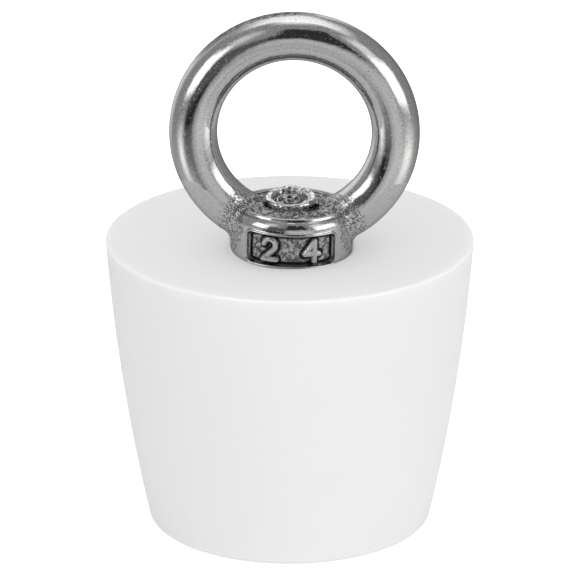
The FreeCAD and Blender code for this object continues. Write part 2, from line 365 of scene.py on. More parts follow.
def turned(name, profile, segments):
    """A turned solid.  A ring is extruded through the profile's (radius, height) points.

    A profile that comes back to its first point makes a ring-shaped solid.  Any other one is closed by
    a fan at both ends.
    """
    radius, height = profile[0]
    bpy.ops.mesh.primitive_circle_add(vertices=segments, radius=radius, location=(0, 0, height))
    piece = settle(bpy.context.object, name)
    open_mesh(piece)
    ring_shaped = profile[0] == profile[-1]
    if not ring_shaped:
        bpy.ops.mesh.edge_face_add()
        bpy.ops.mesh.poke()
        pick(piece, "edges", lambda edge: edge.is_boundary)
    for next_radius, next_height in profile[1:]:
        move = {"value": (0, 0, next_height - height)}
        bpy.ops.mesh.extrude_edges_move(TRANSFORM_OT_translate=move)
        grow = next_radius / radius
        bpy.ops.transform.resize(value=(grow, grow, 1), center_override=(0, 0, next_height))
        radius, height = next_radius, next_height
    if not ring_shaped:
        bpy.ops.mesh.edge_face_add()
        bpy.ops.mesh.poke()
    close_up(piece)
    return piece


def arc(centre, radius, first, last, steps):
    """Points of a profile along an arc, with its angles in degrees from the outward direction."""
    points = []
    for i in range(steps + 1):
        angle = math.radians(first + (last - first) * i / steps)
        points.append((centre[0] + radius * math.cos(angle), centre[1] + radius * math.sin(angle)))
    return points


def run(points, end, steps):
    """Adds a straight run to the profile, from its last point to the end."""
    start = points[-1]
    for i in range(1, steps + 1):
        points.append(tuple(a + (b - a) * i / steps for a, b in zip(start, end)))


def apply_modifier(piece, kind, **settings):
    """Adds a modifier with those settings and applies it."""
    only(piece)
    modifier = piece.modifiers.new(kind.title(), kind)
    for name, setting in settings.items():
        setattr(modifier, name, setting)
    bpy.ops.object.modifier_apply(modifier=modifier.name)


def combine(piece, tool, operation):
    """Joins the tool (UNION) or cuts it away (DIFFERENCE), and drops it."""
    apply_modifier(piece, "BOOLEAN", operation=operation, solver="EXACT", object=tool)
    bpy.data.objects.remove(tool)


def weigh(piece, name, weight):
    """A vertex group whose weights come from weight(point)."""
    group = piece.vertex_groups.new(name=name)
    for vertex in piece.data.vertices:
        amount = weight(vertex.co)
        if amount > 0:
            group.add([vertex.index], min(amount, 1.0), "REPLACE")
    return name


def ramp(value, low, high):
    """0 at low, 1 at high, smooth between."""
    t = min(max((value - low) / (high - low), 0.0), 1.0)
    return t * t * (3 - 2 * t)


def push(piece, name, weight, amount, direction="NORMAL"):
    """Moves the points by that amount in metres, each as far as its weight(point) says."""
    group = weigh(piece, name, weight)
    apply_modifier(
        piece, "DISPLACE", strength=amount, direction=direction, mid_level=0.0, vertex_group=group
    )


def rumple(piece, group, size, amount, depth):
    """Moves the group's points along their normals by clouds of that size and amount, in metres."""
    texture = bpy.data.textures.new(f"{piece.name}_{group}", "CLOUDS")
    texture.noise_scale = size
    texture.noise_depth = depth
    apply_modifier(
        piece,
        "DISPLACE",
        texture=texture,
        texture_coords="LOCAL",
        strength=amount,
        mid_level=0.5,
        vertex_group=group,
    )
    bpy.data.textures.remove(texture)


def smooth_shade(piece, degrees):
    """Shades the piece smooth, but not across edges sharper than that."""
    only(piece)
    bpy.ops.object.shade_smooth_by_angle(angle=math.radians(degrees))


def place_piece(piece, node):
    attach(piece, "root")
    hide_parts(node)


# Pieces


class EYEPLUG_OT_rubber(bpy.types.Operator):
    """Build the tapered rubber plug"""

    bl_idname = "eyeplug.rubber"
    bl_label = "Rubber Plug"

    def execute(self, context):
        sizes = context.scene.plug_sizes
        piece = turned("rubber_plug", plug_profile(sizes, context.scene.nut_sizes), 288)
        smooth_shade(piece, 50)
        finish_rubber(new_finish(piece, "milky_rubber"), sizes)
        place_piece(piece, "tapered_plug")
        return {"FINISHED"}


def plug_profile(sizes, nut):
    """Half section of the rubber: bore, seat, dish, rim, bowed side, base edge and recess."""
    top_r, base_r, height = sizes.top_width / 2, sizes.base_width / 2, sizes.height
    bore_r, recess_r, seat_r = sizes.bore_width / 2, sizes.recess_width / 2, nut.collar_width / 2
    seat_z, recess_z = NUT_LOW.z - nut.foot_depth, WASHER_HIGH.z
    sink = height - seat_z
    points = [(bore_r, recess_z)]
    run(points, (bore_r, seat_z), 12)
    run(points, (seat_r, seat_z), 6)
    # The rubber turns down sharply beside the collar and runs out flat towards the rim.
    for i in range(1, 41):
        reach = sizes.dish_reach * (i / 40) ** 1.6
        wide = 1 - reach / sizes.dish_reach
        depth = 0.80 * wide**2.4 + 0.20 * math.exp(-reach / (0.28 * MM)) * wide
        points.append((seat_r + reach, height - sink * depth))
    run(points, (top_r - sizes.rim_round, height), 5)
    rim = (top_r - sizes.rim_round * 1.07, height - sizes.rim_round)
    points += arc(rim, sizes.rim_round, 90, -8, 8)[1:]
    chord_x, chord_z = top_r - base_r, height
    for i in range(1, 48):
        t = i / 48
        bow = 4 * sizes.bow * t * (1 - t)
        x = top_r - chord_x * t + bow * chord_z / math.hypot(chord_x, chord_z)
        z = height * (1 - t) - bow * chord_x / math.hypot(chord_x, chord_z)
        if sizes.base_round * 0.9 < z < height - sizes.rim_round * 1.2:
            points.append((x, z))
    base = (base_r - sizes.base_round * 0.80, sizes.base_round)
    points += arc(base, sizes.base_round, -4, -90, 8)
    mouth = (recess_r + sizes.mouth_round, sizes.mouth_round)
    run(points, (mouth[0], 0.0), 6)
    points += arc(mouth, sizes.mouth_round, -90, -180, 4)[1:]
    run(points, (recess_r, recess_z), 6)
    run(points, points[0], 6)
    points[-1] = points[0]
    return points


def finish_rubber(finish, sizes):
    """Milky silicone: light gets in a little way, and the skin is satin with a faint mould grain."""
    place = finish.place()
    cloud = finish.noise(place, 14 * MM)
    grain = finish.noise(place, 0.35 * MM, 3.0, 0.6)
    dull, bright = ([min(c * share, 1.0) for c in sizes.rubber] for share in (0.985, 1.015))
    finish.surface(
        Base_Color=finish.mix(cloud, dull, bright),
        Roughness=0.56 + 0.10 * cloud,
        Normal=finish.bump(grain, 0.004 * MM),
        Subsurface_Weight=0.8,
        Subsurface_Radius=(1.0, 1.0, 1.0),
        Subsurface_Scale=1.0 * MM,
        Specular_IOR_Level=0.1,
        IOR=1.41,
    )


class EYEPLUG_OT_eye_nut(bpy.types.Operator):
    """Build the cast eye nut"""

    bl_idname = "eyeplug.eye_nut"
    bl_label = "Eye Nut"

    def execute(self, context):
        sizes = context.scene.nut_sizes
        piece = turned("cast_eye_nut", collar_profile(sizes), 192)
        wear_crown(piece, sizes)
        combine(piece, make_eye(sizes), "UNION")
        combine(piece, bore_cutter(sizes), "DIFFERENCE")
        apply_modifier(piece, "REMESH", mode="VOXEL", voxel_size=sizes.grain, adaptivity=0.0)
        blend_roots(piece, sizes)
        sink_panel(piece, sizes)
        roughen_casting(piece, sizes)
        for layer in (unpolished, hollows, roots):
            paint(piece, layer, sizes)
        lean(piece, sizes)
        smooth_shade(piece, 180)
        finish_cast_steel(new_finish(piece, "cast_steel"), sizes)
        place_piece(piece, "eye_nut")
        return {"FINISHED"}


def collar_profile(sizes):
    """Half section of the collar, from its foot to the middle of its crown."""
    foot = NUT_LOW.z
    low = foot - sizes.foot_depth
    wide = sizes.collar_width / 2
    top = foot + sizes.crown_height - sizes.lip_height
    lip_r = sizes.crown_width / 2
    shoulder = shoulder_radius(sizes)
    foot_round = 0.25 * MM
    points = [(0.4 * MM, low)]
    run(points, (wide - foot_round, low), 6)
    points += arc((wide - foot_round, low + foot_round), foot_round, -90, 0, 4)[1:]
    run(points, (wide, foot + sizes.side_height), 8)
    lean_in = math.degrees(math.asin((top - foot - sizes.side_height) / shoulder))
    points += arc((wide - shoulder, foot + sizes.side_height), shoulder, 0, lean_in, 14)[1:]
    floor_r, floor_z = lip_r - 0.36 * MM, top - 0.06 * MM
    points += [(lip_r - 0.20 * MM, top + 0.06 * MM), (floor_r, floor_z)]
    for i in range(1, 20):
        t = 1 - i / 20
        points.append((floor_r * t, floor_z + (sizes.crown_rise + 0.06 * MM) * (1 - t * t)))
    return points


def crown_top(point, sizes):
    """Height of the crown's edge beside the point: level in front, lower at the back."""
    fall = sizes.crown_fall * ramp(point.y, -1 * MM, 5 * MM)
    return NUT_LOW.z + sizes.crown_height - sizes.lip_height - fall


def wear_crown(piece, sizes):
    """Lets the back of the crown down."""

    def worn(point):
        raised = ramp(point.z, NUT_LOW.z + 2 * MM, NUT_LOW.z + sizes.side_height + 0.6 * MM)
        return ramp(point.y, -1 * MM, 5 * MM) * raised

    push(piece, "back", worn, -sizes.crown_fall, "Z")
    piece.vertex_groups.clear()


def shoulder_radius(sizes):
    """Radius of the shoulder, which leaves the side without an edge and ends at the crown's lip."""
    inwards = (sizes.collar_width - sizes.crown_width) / 2
    upwards = sizes.crown_height - sizes.lip_height - sizes.side_height
    return (inwards**2 + upwards**2) / (2 * inwards)


def make_eye(sizes):
    """The round eye, cut off level just above the foot."""
    outer = sizes.opening / 2 + sizes.wire
    centre = NUT_HIGH.z - outer
    bpy.ops.mesh.primitive_torus_add(
        location=(0, 0, centre),
        rotation=(math.pi / 2, 0, 0),
        major_segments=320,
        minor_segments=88,
        major_radius=(sizes.opening + sizes.wire) / 2,
        minor_radius=sizes.wire / 2,
    )
    eye = settle(bpy.context.object, "eye")
    open_mesh(eye)
    cut_level(NUT_LOW.z + 0.3 * MM, above=False)
    close_mesh()
    return eye


def bore_cutter(sizes):
    """The threaded bore's cylinder, with the chamfers at its two mouths."""
    foot = NUT_LOW.z - sizes.foot_depth
    bore = sizes.bore / 2
    crown = NUT_LOW.z + sizes.crown_height + sizes.crown_rise
    profile = [
        (bore + 0.9 * MM, foot - 0.5 * MM),
        (bore + 0.4 * MM, foot),
        (bore, foot + 0.4 * MM),
        (bore, crown - 0.22 * MM),
        (bore + 0.02 * MM, crown),
        (bore + 0.02 * MM, crown + 1 * MM),
    ]
    tool = turned("bore", profile, 128)
    # The mouth is worn wider at its left and right, and closed up on the thread in front.
    open_mesh(tool)
    pick(tool, "verts", lambda vertex: vertex.co.z > crown - 0.4 * MM)
    bpy.ops.transform.resize(value=(1.04, 0.80, 1), center_override=(0, 0, crown))
    close_mesh()
    return tool


def eye_gap(point, sizes):
    """How far the point lies off the eye's surface."""
    pitch = (sizes.opening + sizes.wire) / 2
    centre = NUT_HIGH.z - pitch - sizes.wire / 2
    return math.hypot(math.hypot(point.x, point.z - centre) - pitch, point.y) - sizes.wire / 2


def collar_gap(point, sizes):
    """How far the point lies off the collar's side, shoulder or crown."""
    flat = math.hypot(point.x, point.y)
    wide = sizes.collar_width / 2
    shoulder = shoulder_radius(sizes)
    up = point.z - NUT_LOW.z - sizes.side_height
    if up <= 0:
        return flat - wide
    if flat <= sizes.crown_width / 2:
        return point.z - crown_top(point, sizes)
    return math.hypot(flat - wide + shoulder, up) - shoulder


def at_root(point, sizes, reach):
    """1 where the eye meets the collar, falling to 0 at that distance from both."""
    away = max(abs(eye_gap(point, sizes)), abs(collar_gap(point, sizes)))
    return ramp(away, reach, reach * 0.3)


def roots(point, sizes):
    """1 where the eye meets the collar, falling to 0 where the polishing wheel got in."""
    return at_root(point, sizes, sizes.pitted_reach)


def at_seam(point, sizes):
    """Up to 1 on what is left of the mould's seam, along the outside of the eye's upper left."""
    pitch = (sizes.opening + sizes.wire) / 2
    up = point.z - NUT_HIGH.z + pitch + sizes.wire / 2
    out = ramp(math.hypot(point.x, up), pitch + sizes.wire * 0.46, pitch + sizes.wire * 0.49)
    turn = math.degrees(math.atan2(up, point.x))
    return out * math.exp(-((point.y / (0.8 * MM)) ** 2)) * ramp(turn, 75, 95) * ramp(turn, 150, 130)


def refine(piece, inside, cuts):
    """Subdivides the faces whose middles are inside(point)."""
    open_mesh(piece)
    pick(piece, "faces", lambda face: inside(face.calc_center_median()))
    bpy.ops.mesh.subdivide(number_cuts=cuts)
    close_mesh()


def blend_roots(piece, sizes):
    """Fills the crease between eye and collar, and takes the facets off the rest."""
    group = weigh(piece, "blend", lambda point: at_root(point, sizes, sizes.root_reach))
    apply_modifier(piece, "SMOOTH", factor=0.5, iterations=90, vertex_group=group)
    apply_modifier(piece, "SMOOTH", factor=0.5, iterations=4)
    piece.vertex_groups.clear()


def unrolled(point, sizes):
    """The point's place on the collar's side: round from the front, and up from the panel's middle."""
    middle = NUT_LOW.z + sizes.panel_base + sizes.panel_height / 2
    return math.atan2(point.x, -point.y) * sizes.collar_width / 2, point.z - middle


def on_side(point, sizes):
    """Whether the point is on the front of the collar's side or in the panel."""
    return point.y < 0 and math.hypot(point.x, point.y) > sizes.collar_width / 2 - 1.2 * MM


def panel_gap(point, sizes):
    """How far the point lies outside the panel's border, round the collar; negative inside."""
    if not on_side(point, sizes):
        return 1.0
    wide = sizes.collar_width / 2
    around, up = unrolled(point, sizes)
    corner = sizes.panel_corner
    over_side = abs(around) - math.asin(sizes.panel_width / sizes.collar_width) * wide + corner
    over_edge = abs(up) - sizes.panel_height / 2 + corner
    outside = math.hypot(max(over_side, 0.0), max(over_edge, 0.0))
    return outside + min(max(over_side, over_edge), 0.0) - corner


def number_gap(point, sizes):
    """How far the point lies from the middle line of the number's nearest stroke."""
    place = Vector(unrolled(point, sizes))
    return min(line_gap(place, line) for line in number_lines())


def line_gap(place, line):
    """Distance from a flat place to a line through points."""
    nearest = 1.0
    for start, end in zip(line, line[1:]):
        way = end - start
        t = min(max((place - start).dot(way) / way.length_squared, 0.0), 1.0)
        nearest = min(nearest, (place - start - way * t).length)
    return nearest


def number_lines():
    """A plain 24, each figure one line."""
    two = arc((-2.2, 0.45), 0.62, 170, -40, 12) + [(-2.9, -1.0), (-1.5, -1.0)]
    four = [(2.5, -1.1), (2.5, 1.05), (1.45, -0.35), (3.0, -0.35)]
    return [[Vector(place) * MM for place in line] for line in (two, four)]


def sink_panel(piece, sizes):
    """Refines the marked side, sinks the panel with its rough groove and leaves the number standing."""
    refine(piece, lambda point: panel_gap(point, sizes) < 0.45 * MM, 2)
    deepest = sizes.panel_depth + 0.14 * MM

    def sunk(point):
        gap = panel_gap(point, sizes)
        if gap > 0.1 * MM:
            return 0.0
        stand = ramp(number_gap(point, sizes), sizes.stroke * 0.75, sizes.stroke * 0.25)
        floor = sizes.panel_depth * ramp(gap, 0.03 * MM, -0.12 * MM) * (1 - stand)
        groove = 0.14 * MM * math.exp(-(((gap + 0.18 * MM) / (0.12 * MM)) ** 2)) * (1 - stand)
        return (floor + groove) / deepest

    def border(point):
        gap = panel_gap(point, sizes)
        return math.exp(-(((gap - 0.14 * MM) / (0.11 * MM)) ** 2)) if gap < 0.6 * MM else 0.0

    push(piece, "border", border, 0.14 * MM)
    push(piece, "panel", sunk, -deepest)
    piece.vertex_groups.clear()


def on_crown(point, sizes):
    """1 on the rough top face inside the lip, 0 elsewhere."""
    flat = math.hypot(point.x, point.y)
    top = crown_top(point, sizes)
    inside = ramp(flat, sizes.crown_width / 2 - 0.32 * MM, sizes.crown_width / 2 - 0.46 * MM)
    up = point.z - top
    return inside * ramp(up, -0.4 * MM, -0.25 * MM) * ramp(up, 1.1 * MM, 0.5 * MM)


def lip_band(point, sizes):
    """1 on the middle of the polished lip round the crown, 0 beside it and on the eye."""
    off = math.hypot(point.x, point.y) - sizes.crown_width / 2 + 0.15 * MM
    level = point.z - crown_top(point, sizes)
    if abs(off) > 0.34 * MM or abs(level) > 0.5 * MM:
        return 0.0
    return math.exp(-((off / (0.17 * MM)) ** 4)) * ramp(eye_gap(point, sizes), 0.2 * MM, 0.7 * MM)


def lip_rise(point, sizes):
    """How much the point has to rise to be on the lip, as a share of twice the lip's height."""
    band = lip_band(point, sizes)
    low = crown_top(point, sizes) - point.z
    return band * max(low + sizes.lip_height, 0.0) / (2 * sizes.lip_height)


def unpolished(point, sizes):
    """1 on the faces that the polishing wheel didn't reach."""
    in_panel = ramp(panel_gap(point, sizes), 0.0, -0.12 * MM)
    if in_panel > 0:
        sunk = sizes.collar_width / 2 - math.hypot(point.x, point.y)
        in_panel *= ramp(sunk, 0.10 * MM, 0.25 * MM)
    return max(on_crown(point, sizes), in_panel, at_seam(point, sizes))


def hollows(point, sizes):
    """1 in the groove round the panel and beside the number's strokes, where shade is painted near-black
    on the steel; less on the mould's seam.
    """
    gap = panel_gap(point, sizes)
    if gap > 0:
        return at_seam(point, sizes) * 0.5
    sunk = sizes.collar_width / 2 - math.hypot(point.x, point.y)
    away = number_gap(point, sizes) / sizes.stroke
    beside = ramp(away, 1.4, 0.9) * ramp(away, 0.5, 0.7)
    edge = math.exp(-(((gap + 0.13 * MM) / (0.18 * MM)) ** 2))
    return max(edge, beside * 0.9) * ramp(sunk, 0.02 * MM, 0.09 * MM)


def near_crown(point, sizes):
    """Whether the point is on the crown or its lip."""
    level = point.z - crown_top(point, sizes)
    return math.hypot(point.x, point.y) < sizes.crown_width / 2 + 0.1 * MM and abs(level) < 0.45 * MM


def roughen_casting(piece, sizes):
    """Leaves the crown, the panel's floor and the roots as cast."""
    refine(piece, lambda point: near_crown(point, sizes), 1)
    refine(piece, lambda point: lip_band(point, sizes) > 0.001, 1)
    push(piece, "lip", lambda point: lip_rise(point, sizes), 2 * sizes.lip_height, "Z")
    crown = weigh(piece, "crown", lambda point: on_crown(point, sizes))
    rumple(piece, crown, 0.65 * MM, 0.30 * MM, 2)
    rumple(piece, crown, 0.30 * MM, 0.12 * MM, 1)

    def in_panel(point):
        return unpolished(point, sizes) if panel_gap(point, sizes) < 0 else 0.0

    floor = weigh(piece, "floor", in_panel)
    rumple(piece, floor, 0.5 * MM, 0.09 * MM, 2)
    pitted = weigh(piece, "pitted", lambda point: roots(point, sizes))
    rumple(piece, pitted, 0.6 * MM, 0.07 * MM, 3)
    piece.vertex_groups.clear()


def paint(piece, amount, sizes):
    """A painted layer with that function's name and its amount at each point, for the finish."""
    layer = piece.data.attributes.new(amount.__name__, "FLOAT", "POINT")
    layer.data.foreach_set("value", [amount(vertex.co, sizes) for vertex in piece.data.vertices])


def lean(piece, sizes):
    """Leans the nut to its right, about the middle of its foot, and shifts it that way."""
    open_mesh(piece)
    bpy.ops.transform.rotate(value=-sizes.lean, orient_axis="Y", center_override=(0, 0, NUT_LOW.z))
    bpy.ops.transform.translate(value=(sizes.shift, 0, 0))
    close_mesh()


def finish_cast_steel(finish, sizes):
    """Polished casting: bright, with fine grain, and pitted where the wheel didn't reach. Shade is
    painted near-black into the panel's groove, beside the number's strokes and into the pits, and darker
    into the dents of the rough cast faces.
    """
    place = finish.place()
    rough = finish.painted("unpolished")
    hollow = finish.painted("hollows")
    root = finish.painted("roots")
    sweep = finish.noise(place, 6 * MM)
    wave = finish.noise(place, 1.6 * MM)
    grain = finish.noise(place, 0.18 * MM, 3.0, 0.65)
    lumps = finish.noise(place, 0.38 * MM, 3.0, 0.7)
    patchy = finish.step(finish.noise(place, 2.2 * MM), 0.56, 0.74) * 0.42
    pitted = root.most(patchy)
    pit = finish.step(finish.cells(place, 0.20 * MM), 0.50, 0.25)
    spread = finish.noise(place, 0.5 * MM, 3.0, 0.65) + 0.60 * pitted
    pit = pit * finish.step(spread, 0.75, 0.91) * (1 - rough)
    normal = finish.bump(sweep, 0.04 * MM)
    normal = finish.bump(wave, 0.03 * MM, normal)
    normal = finish.bump(finish.step(grain, 0.62, 0.72), 0.005 * MM, normal)
    normal = finish.bump(lumps * rough.most(root * 0.25), 0.26 * MM, normal)
    normal = finish.bump(1 - pit, 0.06 * MM, normal)
    # The rough cast faces are dull. Their colour follows the same lumps as their bumps and is darkest in
    # the dents: painted shade there.
    cast = finish.mix(finish.step(lumps, 0.40, 0.62), 0.07, (0.62, 0.62, 0.615))
    dull, bright = ([c * share for c in sizes.steel] for share in (0.86, 1.10))
    steel = finish.mix(finish.step(grain, 0.3, 0.7), dull, bright)
    steel = finish.mix(rough * 0.85, steel, cast)
    # Painted shade: near-black in the groove round the panel and beside the number's strokes; the
    # mould's seam is darkened too.
    steel = finish.mix(hollow * 1.1, steel, 0.02)
    # Painted shade in the pits: they are darkened almost to black.
    steel = finish.mix(pit * 0.75, steel, 0.06)
    finish.surface(
        Base_Color=steel,
        Metallic=1.0,
        Roughness=0.035 + 0.03 * sweep + 0.14 * rough + 0.04 * root + 0.2 * pit + 0.4 * hollow,
        Normal=normal,
        Specular_Tint=(0.5, 0.5, 0.5, 1.0),
    )


class EYEPLUG_OT_screw(bpy.types.Operator):
    """Build the button head screw with its rolled thread"""

    bl_idname = "eyeplug.screw"
    bl_label = "Button Head Screw"

    def execute(self, context):
        sizes = context.scene.screw_sizes
        piece = make_thread(sizes)
        combine(piece, make_tip(sizes), "UNION")
        combine(piece, make_head(sizes), "UNION")
        smooth_shade(piece, 35)
        finish_rolled_steel(new_finish(piece, "rolled_steel"), sizes)
        place_piece(piece, "button_head_screw")
        return {"FINISHED"}


def make_thread(sizes):
    """The threaded shank: one tooth's line, turned up the shank and cut off level at both ends."""
    outer = sizes.thread_width / 2
    depth, pitch = sizes.thread_depth, sizes.pitch
    low = SCREW_LOW.z + sizes.head_height - 0.4 * MM
    high = SCREW_HIGH.z - 0.55 * MM
    start = low - 2 * pitch
    bpy.ops.mesh.primitive_circle_add(vertices=3, radius=MM)
    thread = settle(bpy.context.object, "rolled_screw")
    open_mesh(thread)
    bpy.ops.mesh.merge(type="CENTER")
    shape = bmesh.from_edit_mesh(thread.data)
    shape.verts.ensure_lookup_table()
    shape.verts[0].co = (outer - depth, 0, start)
    shape.verts[0].select_set(True)
    bmesh.update_edit_mesh(thread.data)
    # One tooth's line, as shares of the thread's depth and of its pitch.
    tooth = [(0.0, 0.06), (0.3, 0.38), (0.7, 0.44), (1.0, 0.50)]
    tooth += [(1.0, 0.56), (0.7, 0.62), (0.3, 0.68), (0.0, 1.0)]
    at = Vector((outer - depth, 0, start))
    for rise, up in tooth:
        to = Vector((outer - depth + depth * rise, 0, start + pitch * up))
        bpy.ops.mesh.extrude_region_move(TRANSFORM_OT_translate={"value": tuple(to - at)})
        at = to
    close_mesh()
    turns = math.ceil((high - start) / pitch) + 1
    apply_modifier(
        thread,
        "SCREW",
        axis="Z",
        angle=math.tau,
        screw_offset=pitch,
        iterations=turns,
        steps=64,
        render_steps=64,
        use_merge_vertices=True,
        merge_threshold=1e-6,
        use_smooth_shade=False,
    )
    close_up(thread)
    open_mesh(thread)
    cut_level(low, above=False)
    cut_level(high, above=True)
    close_up(thread)
    return thread


# How much lower the front of the screw's torn rim is than its back.
TIP_FALL = 0.36 * MM


def make_tip(sizes):
    """The rough end of the screw: a raised rim round a torn hollow with a swirl in it."""
    top = SCREW_HIGH.z + 0.06 * MM
    outer = sizes.thread_width / 2
    wall = outer - 0.08 * MM
    inner = outer - 0.55 * MM
    points = [(0.3 * MM, top - 2.0 * MM)]
    run(points, (outer - 0.5 * MM, top - 2.0 * MM), 3)
    run(points, (outer - 0.14 * MM, top - 0.9 * MM), 6)
    run(points, (wall, top - 0.7 * MM), 4)
    run(points, (wall, top - 0.18 * MM), 8)
    points += arc((wall - 0.18 * MM, top - 0.18 * MM), 0.18 * MM, 0, 90, 4)[1:]
    run(points, (inner, top - 0.10 * MM), 4)
    run(points, (inner - 0.22 * MM, top - 0.55 * MM), 7)
    run(points, (0.2 * MM, top - 0.8 * MM), 24)
    tip = turned("tip", points, 192)

    def swirl(point):
        far = math.hypot(point.x, point.y)
        turn = math.atan2(point.y, point.x)
        ridge = (0.5 + 0.5 * math.cos(math.tau * far / (0.85 * MM) - turn)) ** 2
        return ridge * ramp(far, inner, inner - 0.3 * MM) * ramp(point.z, top - MM, top - 0.9 * MM)

    def front(point):
        return ramp(point.y, outer, -outer) * ramp(point.z, top - 1.4 * MM, top - 0.6 * MM)

    def torn(point):
        return ramp(point.z, top - 0.95 * MM, top - 0.6 * MM)

    push(tip, "swirl", swirl, 0.36 * MM, "Z")
    push(tip, "front", front, -TIP_FALL, "Z")
    group = weigh(tip, "torn", torn)
    rumple(tip, group, 0.70 * MM, 0.18 * MM, 1)
    rumple(tip, group, 1.6 * MM, 0.30 * MM, 0)
    tip.vertex_groups.clear()
    # It follows the nut's shift.
    open_mesh(tip)
    bpy.ops.transform.translate(value=(0.1 * MM, 0, 0))
    close_mesh()
    return tip


def make_head(sizes):
    """The button head, with its socket."""
    low = SCREW_LOW.z
    wide = sizes.head_width / 2
    tall = sizes.head_height
    flat_r = sizes.head_flat / 2
    inwards, rise = wide - flat_r, tall - sizes.head_rim
    radius = (inwards**2 + rise**2) / (2 * inwards)
    points = [(0.4 * MM, low), (flat_r, low)]
    for i in range(1, 21):
        # The dome is upright at the rim and leans in towards the flat.
        angle = math.asin(rise / radius) * (1 - i / 20)
        points.append((wide - radius * (1 - math.cos(angle)), low + rise - radius * math.sin(angle)))
    points += [(wide, low + tall - 0.08 * MM), (wide - 0.08 * MM, low + tall), (0.4 * MM, low + tall)]
    head = turned("head", points, 128)
    bpy.ops.mesh.primitive_cylinder_add(
        vertices=6,
        radius=sizes.socket / math.sqrt(3),
        depth=3.2 * MM,
        location=(0, 0, low),
        rotation=(0, 0, math.radians(30)),
    )
    socket = settle(bpy.context.object, "socket")
    combine(head, socket, "DIFFERENCE")
    return head


def finish_rolled_steel(finish, sizes):
    """Bright rolled steel. Its torn tip is patchy dark, with the dark patches in the dents of its bumps,
    so shade is painted there; shade is also painted near-black into the hollow.
    """
    place = finish.place()
    x, y, z = finish.axes(place)
    top = SCREW_HIGH.z
    at_tip = finish.step(z, top - 1.0 * MM, top - 0.7 * MM)
    flat = (x * x + y * y) ** 0.5
    # The rim's front is lower than its back, so the hollow's depth is taken from a leaning plane.
    depth = top + 0.02 * MM - z - finish.step(y, 2.5 * MM, -2.5 * MM) * TIP_FALL
    hollow_shade = finish.step(depth, 0.16 * MM, 0.55 * MM) * finish.step(flat, 2.25 * MM, 2.0 * MM) * at_tip
    grain = finish.noise(place, 0.12 * MM, 3.0, 0.6)
    tear = finish.noise(place, 0.45 * MM, 2.0, 0.6)
    normal = finish.bump(grain, 0.004 * MM)
    normal = finish.bump(tear * at_tip, 0.05 * MM, normal)
    # Painted shade: the torn tip is darker where its bumps dip.
    steel = finish.mix(at_tip * finish.step(tear, 0.46, 0.36) * 0.6, sizes.steel, 0.05)
    finish.surface(
        # Painted shade: near-black in the tip's hollow.
        Base_Color=finish.mix(hollow_shade * 0.75, steel, 0.04),
        Metallic=1.0,
        Roughness=0.12 + 0.08 * grain,
        Normal=normal,
    )


class EYEPLUG_OT_washer(bpy.types.Operator):
    """Build the punched washer"""

    bl_idname = "eyeplug.washer"
    bl_label = "Wide Washer"

    def execute(self, context):
        sizes = context.scene.washer_sizes
        low, high = WASHER_LOW.z, WASHER_HIGH.z
        wide, hole = WASHER_HIGH.x, sizes.hole_width / 2
        soft, crisp = 0.2 * MM, 0.05 * MM
        points = [(hole, low + crisp)]
        run(points, (hole, high - soft), 3)
        points += arc((hole + soft, high - soft), soft, 180, 90, 4)[1:]
        run(points, (wide - soft, high), 6)
        points += arc((wide - soft, high - soft), soft, 90, 0, 5)[1:]
        run(points, (wide, low + crisp), 3)
        points += [(wide - crisp, low)]
        run(points, (hole + crisp, low), 6)
        points += [points[0]]
        piece = turned("punched_washer", points, 160)
        smooth_shade(piece, 40)
        finish_sheet_steel(new_finish(piece, "sheet_steel"), sizes)
        place_piece(piece, "wide_washer")
        return {"FINISHED"}


def finish_sheet_steel(finish, sizes):
    """Cold rolled sheet: fine rolling lines across the faces, and faint smudges."""
    place = finish.place()
    stretched = finish.vector("MULTIPLY", place, (1.0, 0.06, 1.0))
    lines = finish.noise(stretched, 0.09 * MM, 3.0, 0.6)
    smudge = finish.noise(place, 3 * MM, 3.0)
    finish.surface(
        Base_Color=finish.mix(smudge * 0.3, sizes.steel, 0.42),
        Metallic=1.0,
        Roughness=0.28 + 0.14 * smudge,
        Normal=finish.bump(lines, 0.006 * MM),
    )


# Studio


class EYEPLUG_OT_studio(bpy.types.Operator):
    """Build the floor, the lamps, the tent that the steel mirrors, and the camera"""

    bl_idname = "eyeplug.studio"
    bl_label = "Studio"

    def execute(self, context):
        settings = context.scene.studio_settings
        make_world(context.scene, settings)
        make_floor()
        make_tent()
        make_lamps()
        make_camera(context.scene, settings)
        context.scene.view_settings.view_transform = "Standard"
        return {"FINISHED"}


def make_world(scene, settings):
    """White as seen, and an even soft light."""
    scene.world = scene.world or bpy.data.worlds.new("studio")
    scene.world.use_nodes = True
    finish = Finish(scene.world.node_tree, "ShaderNodeOutputWorld")
    light = finish.node("ShaderNodeBackground", None, {0: rgba(1.0), 1: settings.ambient})
    white = finish.node("ShaderNodeBackground", None, {0: rgba(1.0), 1: 1.0})
    finish.end(finish.node("ShaderNodeMixShader", None, {0: finish.seen(), 1: light, 2: white}))


def make_floor():
    """White paper just under the plug.  It glows a little, and more where it is seen."""
    bpy.ops.mesh.primitive_circle_add(
        vertices=96, radius=1.6, fill_type="NGON", location=(0, 0, -0.02 * MM)
    )
    floor = settle(bpy.context.object, "floor")
    finish = new_finish(floor, "paper")
    paper = finish.node("ShaderNodeBsdfDiffuse", None, {0: rgba(0.9)})
    glow = finish.node("ShaderNodeEmission", None, {0: rgba(1.0), 1: 0.18 + 0.40 * finish.seen()})
    finish.end(finish.node("ShaderNodeAddShader", None, {0: paper, 1: glow}))


